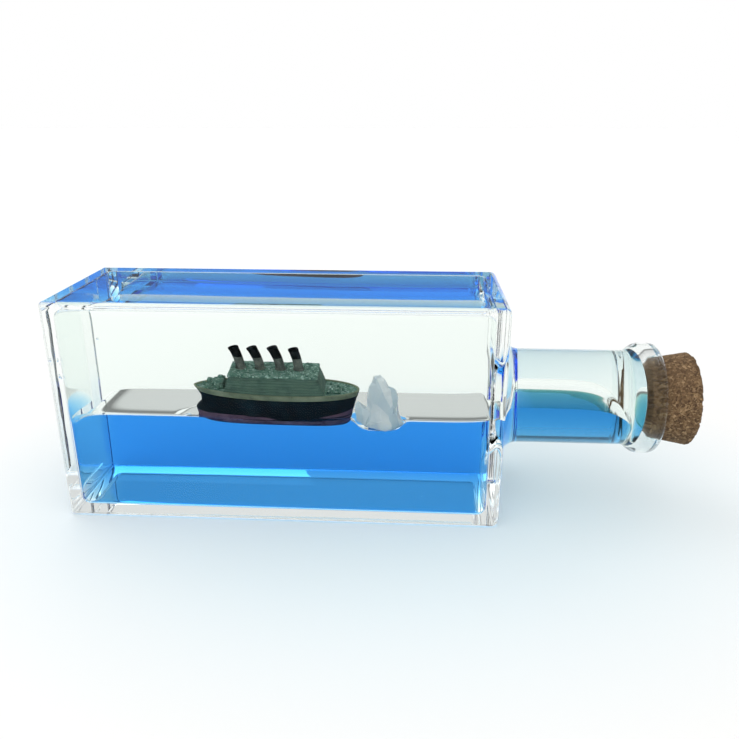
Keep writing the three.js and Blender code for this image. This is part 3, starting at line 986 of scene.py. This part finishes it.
def hulls_object(name, clouds, material, matrix):
    """Closed convex shapes over each cloud of points, in one mesh."""
    mesh = bmesh.new()
    for cloud in clouds:
        verts = [mesh.verts.new([c * MM for c in p]) for p in cloud]
        made = bmesh.ops.convex_hull(mesh, input=verts)
        inside = [v for v in made["geom_interior"] if isinstance(v, bmesh.types.BMVert)]
        bmesh.ops.delete(mesh, geom=inside, context="VERTS")
    bmesh.ops.recalc_face_normals(mesh, faces=mesh.faces)
    data = bpy.data.meshes.new(name)
    mesh.to_mesh(data)
    mesh.free()
    data.materials.append(material)
    return link_mesh(name, data, matrix)


def rough_piece(name, clouds, material, voxel, offset, node):
    """Shapes on the ship's decks joined under one worn skin."""
    piece = hulls_object(name, clouds, material, ship_matrix)
    voxel_union(piece, voxel)
    displace(piece, offset)
    smooth_faces(piece)
    finish_piece(piece, "ship", node)


def post_points(x, y, low, high, radius, top_radius=None):
    top_radius = radius if top_radius is None else top_radius
    sections = ((low, radius), (high - 0.1, top_radius), (high, top_radius * 0.7))
    return [(x + r * math.cos(a), y + r * math.sin(a), z) for z, r in sections for a in turn(10)]


random = np.random.default_rng(12)
# place along the ship, height, lean
funnel_places = [(-9.6, 6.2, 2.0), (-4.3, 6.2, 2.4), (1.2, 6.4, 2.4), (6.1, 6.1, 1.6)]


def make_boat_deck():
    """A thick rough deck with boats along its edges, and vents and skylights round the funnels."""
    outline = house_ring(0, -12.65, 11.55, 7.15, 0.1)
    clouds = [[(x, y, HOUSE_TOP) for x, y, _ in outline]
              + [(x * 0.996, y * 0.99, ROOF_TOP - 0.05) for x, y, _ in outline]]
    top = ROOF_TOP - 0.15
    for side in (-1, 1):
        for x in (-10.6, -7.6, -1.8, 3.7, 8.6):
            length = random.uniform(0.8, 1.15)
            y = side * 5.9
            clouds.append([(x + dx * length, y + dy * 0.42, top + dz) for dx, dy, dz in (
                (-1, 0, 0.32), (1, 0, 0.32), (-0.7, -1, 0.0), (0.7, -1, 0.0), (-0.7, 1, 0.0), (0.7, 1, 0.0),
                (-0.6, -0.8, 0.42), (0.6, -0.8, 0.42), (-0.6, 0.8, 0.42), (0.6, 0.8, 0.42))])
    for x, _, _ in funnel_places:
        for _ in range(7):
            px, py = x + random.uniform(-2.4, 2.4), random.uniform(-3.6, 3.6)
            size = random.uniform(0.2, 0.5)
            height = random.uniform(0.2, 0.5)
            clouds.append(box_points((px - size, py - size * 0.8, top),
                                     (px + size, py + size * 0.8, top + height), 0.12))
        for side in (-1, 1):
            px, py = x + random.uniform(1.3, 1.9), side * random.uniform(1.7, 2.4)
            clouds.append(post_points(px, py, top, top + 0.8, 0.22, 0.3))
    clouds.append(box_points((9.3, -5.6, top), (11.0, 5.6, ROOF_TOP + 0.2), 0.15))

    def offset(point):
        if point.z < HOUSE_TOP + 0.2:
            return 0.0
        return 0.11 * fractal(point, 0.55, 3, 1.0) + 0.05 * fractal(point, 1.9, 2, 8.0)
    rough_piece("boat_deck", clouds, green_paint, 0.13, offset, "ship_boat_deck")


make_boat_deck()


def fittings(blocks, posts):
    """Blocks (x, y, far x, far y, height, chamfer) and posts (x, y, height, radii) on the deck."""
    foot, pad = DECK_TOP - 0.6, DECK_TOP + 0.1
    clouds = [box_points((x, y, foot), (to_x, to_y, pad + height), chamfer)
              for x, y, to_x, to_y, height, chamfer in blocks]
    return clouds + [post_points(x, y, foot, pad + height, *radii) for x, y, height, *radii in posts]


aft_blocks = [(-19.4, -2.8, -14.3, 3.2, 0.15, 0.15), (-17.6, -1.4, -14.4, 3.0, 1.3, 0.3),
              (-16.9, -2.6, -15.4, -0.8, 0.9, 0.25), (-19.2, 0.2, -17.7, 2.2, 1.45, 0.3),
              (-16.4, 1.6, -14.9, 3.4, 1.9, 0.3)]
aft_posts = [(-18.9, -2.2, 1.1, 0.35), (-17.5, -2.4, 1.2, 0.35), (-15.6, -3.1, 0.9, 0.35),
             (-18.9, 2.8, 1.1, 0.35), (-19.9, 0.4, 0.7, 0.4), (-14.9, 4.2, 1.2, 0.4)]
fore_blocks = [(13.8, -4.2, 17.6, 1.6, -0.05, 0.12), (14.2, -3.8, 15.6, -1.6, 0.9, 0.3),
               (14.4, -0.9, 15.9, 0.9, 0.5, 0.2)]
fore_posts = [(16.8, -2.8, 0.75, 0.4, 0.25), (16.8, 0.6, 0.75, 0.4, 0.25),
              (14.8, 1.6, 0.95, 0.4), (18.2, -1.0, 0.45, 0.35)]


def fitting_paint():
    """The boat deck's green with painted highlights: pale patches on the high spots."""
    nodes = floor_paint_nodes("roof_paint_painted_highlights")
    patches = nodes.span(nodes.noise(700.0), 0.5, 0.6)
    high = nodes.math("MULTIPLY", nodes.span(nodes.axis("Z"), 0.0099, 0.0104), patches)
    # Painted highlight: near-white patches on the tops of the fittings.
    nodes.cover(high, srgb(206, 222, 216))
    return nodes.material


rough_piece("aft_fittings", fittings(aft_blocks, aft_posts), green_paint, 0.12,
            lambda point: 0.09 * fractal(point, 0.8, 3, 3.0), "aft_deck_fittings")
rough_piece("fore_fittings", fittings(fore_blocks, fore_posts), fitting_paint(), 0.1,
            lambda point: 0.08 * fractal(point, 0.7, 3, 6.0), "fore_deck_fittings")

# --- funnels ---

BLACK_FROM = 17.7  # height on the ship where the funnels turn black


def funnel_material():
    nodes = paint("funnel_paint", srgb(96, 102, 98), srgb(122, 128, 120), srgb(70, 76, 74), 420.0, 0.5)
    wobble = nodes.span(nodes.noise(300.0, 2.0), 0.3, 0.7, -0.00022, 0.00022)
    edge = nodes.math("ADD", nodes.axis("Z"), wobble)
    nodes.cover(nodes.span(edge, BLACK_FROM * MM, (BLACK_FROM + 0.12) * MM), srgb(14, 20, 24))
    return nodes.material


funnel_paint = funnel_material()
FUNNEL_SIDES, FUNNEL_RADIUS = 36, 1.25


def make_funnel(index, station, height, lean):
    foot, radius = ROOF_TOP + 0.05, FUNNEL_RADIUS

    def ring(z, r):
        t = max(0.0, (z - foot) / height)
        centre = station - lean * (0.35 * t + 0.65 * t * t)
        slope = lean * (0.35 + 1.3 * t) / height if z > foot else 0.0
        places = [(r * math.cos(a), r * math.sin(a)) for a in turn(FUNNEL_SIDES)]
        return [(centre + x, y, z + slope * x * 0.5 * smoothstep(t * 2)) for x, y in places]
    top = foot + height
    rings = [ring(foot, radius * 1.22), ring(foot + 0.32, radius * 1.2), ring(foot + 0.42, radius * 1.02)]
    rings += [ring(z, radius * (1.0 + 0.04 * (z - foot) / height))
              for z in steps(foot + 0.5, top - 0.75, 14)]
    rings += [ring(top - down, radius * size) for down, size in (
        (0.66, 1.1), (0.2, 1.1), (0.05, 1.02), (0.0, 0.86), (0.08, 0.74), (0.7, 0.68))]
    ship_loft(f"funnel_tube_{index}", rings, [funnel_paint], f"funnel_{index}", 45)


for index, place in enumerate(funnel_places):
    make_funnel(index + 1, *place)

# --- iceberg ---

# Merged lumps, each the hull of its corners.
berg_lumps = [
    [(-1.5, 0.5, 15.0), (-1.2, -1.0, 14.6), (1.5, 0, 14.4), (0.2, 1.8, 14.6), (0.9, -1.4, 13.9),
     (-2.9, -1.5, 11.5), (-2.7, 2.3, 11.2), (2.6, -2.0, 10.9), (2.4, 2.6, 10.7),
     (0, -3.1, 9.5), (0.2, 3.6, 9.0), (-3.5, -2.6, 5.0), (-3.3, 3.2, 5.0),
     (3.8, -3.0, 5.3), (3.6, 3.6, 5.0), (0.2, -4.2, 4.2), (0, 4.6, 4.6),
     (-3.2, -3.0, 1.2), (-2.8, 3.0, 1.0), (1.2, -3.8, 0.2), (0.8, 3.6, 0.2), (4.6, -3.0, 1.2),
     (4.2, 3.0, 1.2)],
    [(-5.9, -1.8, 8.4), (-6.5, -2.0, 6.6), (-6.2, -3.1, 4.8), (-6.2, -1.4, 2.8), (-4.2, -1.0, 6.4),
     (-5.9, -3.4, 2.9), (-3.8, -4.2, 1.6), (-2.6, 0.2, 1.6), (-2.6, -3.4, 5.2), (-2.4, 0, 5.0)],
    [(3.4, 0.4, 11.4), (4.9, -0.2, 11.0), (1.4, -1.8, 12.2), (1.6, 2.6, 11.6), (4.9, 2.2, 8.0),
     (4.9, -2.2, 6.4), (5.0, -2.6, 4.9), (4.9, 2.4, 4.0), (1.8, -2.0, 4.4), (1.8, 2.2, 4.2)],
    [(6.7, -1.5, 2.1), (5.4, -3.6, 1.0), (5.2, 1.6, 1.0), (1.2, -4.1, 0.35), (2.0, 1.6, 0.3),
     (4.6, -3.0, 5.0), (4.8, 1.8, 4.8), (-3.9, -3.9, 1.5), (0.5, -4.25, 3.0)],
]


def ice_material():
    nodes = Nodes("ice")
    broad = nodes.noise(160.0, 4.0, 0.6)
    fine = nodes.noise(1400.0, 3.0, 0.6)
    nodes.set(Base_Color=nodes.ramp(broad, [
        (0.3, srgb(214, 224, 232)), (0.55, srgb(234, 240, 244)), (0.8, srgb(248, 250, 251))]))
    # Painted shade: darker blue on random tall cells, standing in for facets turned away from the light.
    facet_shade_cells = nodes.cells(420.0, nodes.stretched((1.0, 1.0, 0.35)))
    nodes.cover(nodes.span(facet_shade_cells, 0.35, 0.8, 0.0, 0.75), srgb(186, 207, 220))
    nodes.cover(nodes.span(nodes.axis("Z"), 0.0, 0.004, 0.35, 0.0), srgb(176, 198, 214))
    nodes.set(Roughness=nodes.span(fine, 0.3, 0.7, 0.4, 0.6))
    nodes.set(Subsurface_Weight=0.12, Subsurface_Radius=(0.8, 1.0, 1.2), Subsurface_Scale=0.001)
    nodes.set(IOR=IMMERSED)
    nodes.bump(fine, 0.15, 0.05)
    return nodes.material


FACETS = 240


def make_berg():
    matrix = Matrix.Translation(Vector((BERG_X, BERG_Y, BERG_Z)) * MM)
    piece = hulls_object("ice", berg_lumps, ice_material(), matrix)
    voxel_union(piece, 0.22)
    displace(piece, lambda point: 0.3 * fractal(point, 2.2, 2, 4.0))
    decimate = piece.modifiers.new("facets", "DECIMATE")
    decimate.ratio = FACETS / max(FACETS, len(piece.data.polygons) * 2)
    apply_modifiers(piece)
    piece.data.polygons.foreach_set("use_smooth", [False] * len(piece.data.polygons))
    finish_piece(piece, "iceberg", "iceberg")


make_berg()

# --- floor, light ---


def make_floor():
    """A plain pale floor with painted light: a faint blue tint near the bottle and a blue glow under its
    body, standing in for light that comes through the bottle.
    """
    nodes = Nodes("floor")
    away = nodes.add("VectorMath", operation="LENGTH")
    nodes.put(away.inputs[0], nodes.stretched((0.7, 1.0, 1.0)))
    distance = nodes.span(away.outputs["Value"], 0.03, 1.2)
    # Painted light: pale cyan near the bottle, for the blue light through it; plain white far away.
    tone = nodes.ramp(distance, [
        (0.0, (0.76, 0.88, 0.92, 1)), (0.02, (0.79, 0.88, 0.91, 1)), (0.06, (0.895, 0.895, 0.885, 1)),
        (0.4, (0.92, 0.915, 0.91, 1)), (1.0, (0.97, 0.97, 0.97, 1))])
    own = nodes.mix(1.0, tone, (0.62, 0.62, 0.62, 1), "MULTIPLY")
    nodes.set(Base_Color=own, Roughness=0.8, Specular_IOR_Level=0.2)
    across = nodes.math("ABSOLUTE", nodes.axis("Y"))
    edge = HALF_DEPTH * MM
    under_body = nodes.span(nodes.axis("X"), (SHOULDER - 3.0) * MM, SHOULDER * MM, 1.0, 0.0)
    painted_glow_mask = nodes.math("MULTIPLY", nodes.span(across, edge - 0.0015, edge, 1.0, 0.0), under_body)
    painted_glow_mask = nodes.math("MULTIPLY", painted_glow_mask, nodes.span(nodes.axis("X"), BASE * MM, (BASE + 3.0) * MM))
    # Painted light: a blue glow in the floor's emission under the bottle's body.
    painted_glow = nodes.mix(painted_glow_mask, (0.31, 0.31, 0.31, 1), (0.45, 0.78, 1.05, 1))
    nodes.set(Emission_Color=nodes.mix(1.0, tone, painted_glow, "MULTIPLY"), Emission_Strength=1.0)
    size, z = 3000.0, -0.02
    corners = [(-size, -size, z), (size, -size, z), (size, size, z), (-size, size, z)]
    piece = make_object("floor", corners, [(0, 1, 2, 3)], [nodes.material])


make_floor()

# How bright the studio is at each height: a white backdrop, a dark gap, grey walls and a bright ceiling.
studio_heights = [(0.0, 1.0), (0.165, 1.0), (0.205, 0.25), (0.28, 0.25),
                  (0.33, 0.66), (0.42, 0.7), (0.6, 0.85), (1.0, 1.1)]


def make_world():
    """The studio, brighter on the camera's side."""
    world = bpy.data.worlds.new("studio")
    scene.world = world
    world.use_nodes = True
    tree = world.node_tree
    background = tree.nodes["Background"]
    place, axes, ramp, front = [tree.nodes.new("ShaderNode" + kind) for kind in (
        "TexCoord", "SeparateXYZ", "ValToRGB", "MapRange")]
    tree.links.new(place.outputs["Generated"], axes.inputs[0])
    tree.links.new(axes.outputs["Z"], ramp.inputs["Fac"])
    fill_ramp(ramp.color_ramp, [(height, (value, value, value, 1)) for height, value in studio_heights])
    for key, value in (("From Min", 0.0), ("From Max", -0.7), ("To Min", 1.0), ("To Max", 2.2)):
        front.inputs[key].default_value = value
    tree.links.new(axes.outputs["Y"], front.inputs["Value"])
    tree.links.new(ramp.outputs["Color"], background.inputs["Color"])
    tree.links.new(front.outputs["Result"], background.inputs["Strength"])


def make_light():
    """A square softbox behind and over the bottle, turned towards it."""
    place, target = Vector((-450, 350, 800)), Vector((0, 0, 30))
    data = bpy.data.lights.new("softbox", "AREA")
    data.shape = "RECTANGLE"
    data.size = data.size_y = 0.7
    data.energy = 2.5
    light = bpy.data.objects.new("softbox", data)
    light.location = place * MM
    light.rotation_euler = (target - place).normalized().to_track_quat("-Z", "Y").to_euler()
    scene.collection.objects.link(light)


make_world()
make_light()

scene.view_settings.view_transform = "Standard"
scene.cycles.max_bounces = 32
scene.cycles.transmission_bounces = 32
scene.cycles.glossy_bounces = 12
scene.cycles.diffuse_bounces = 4
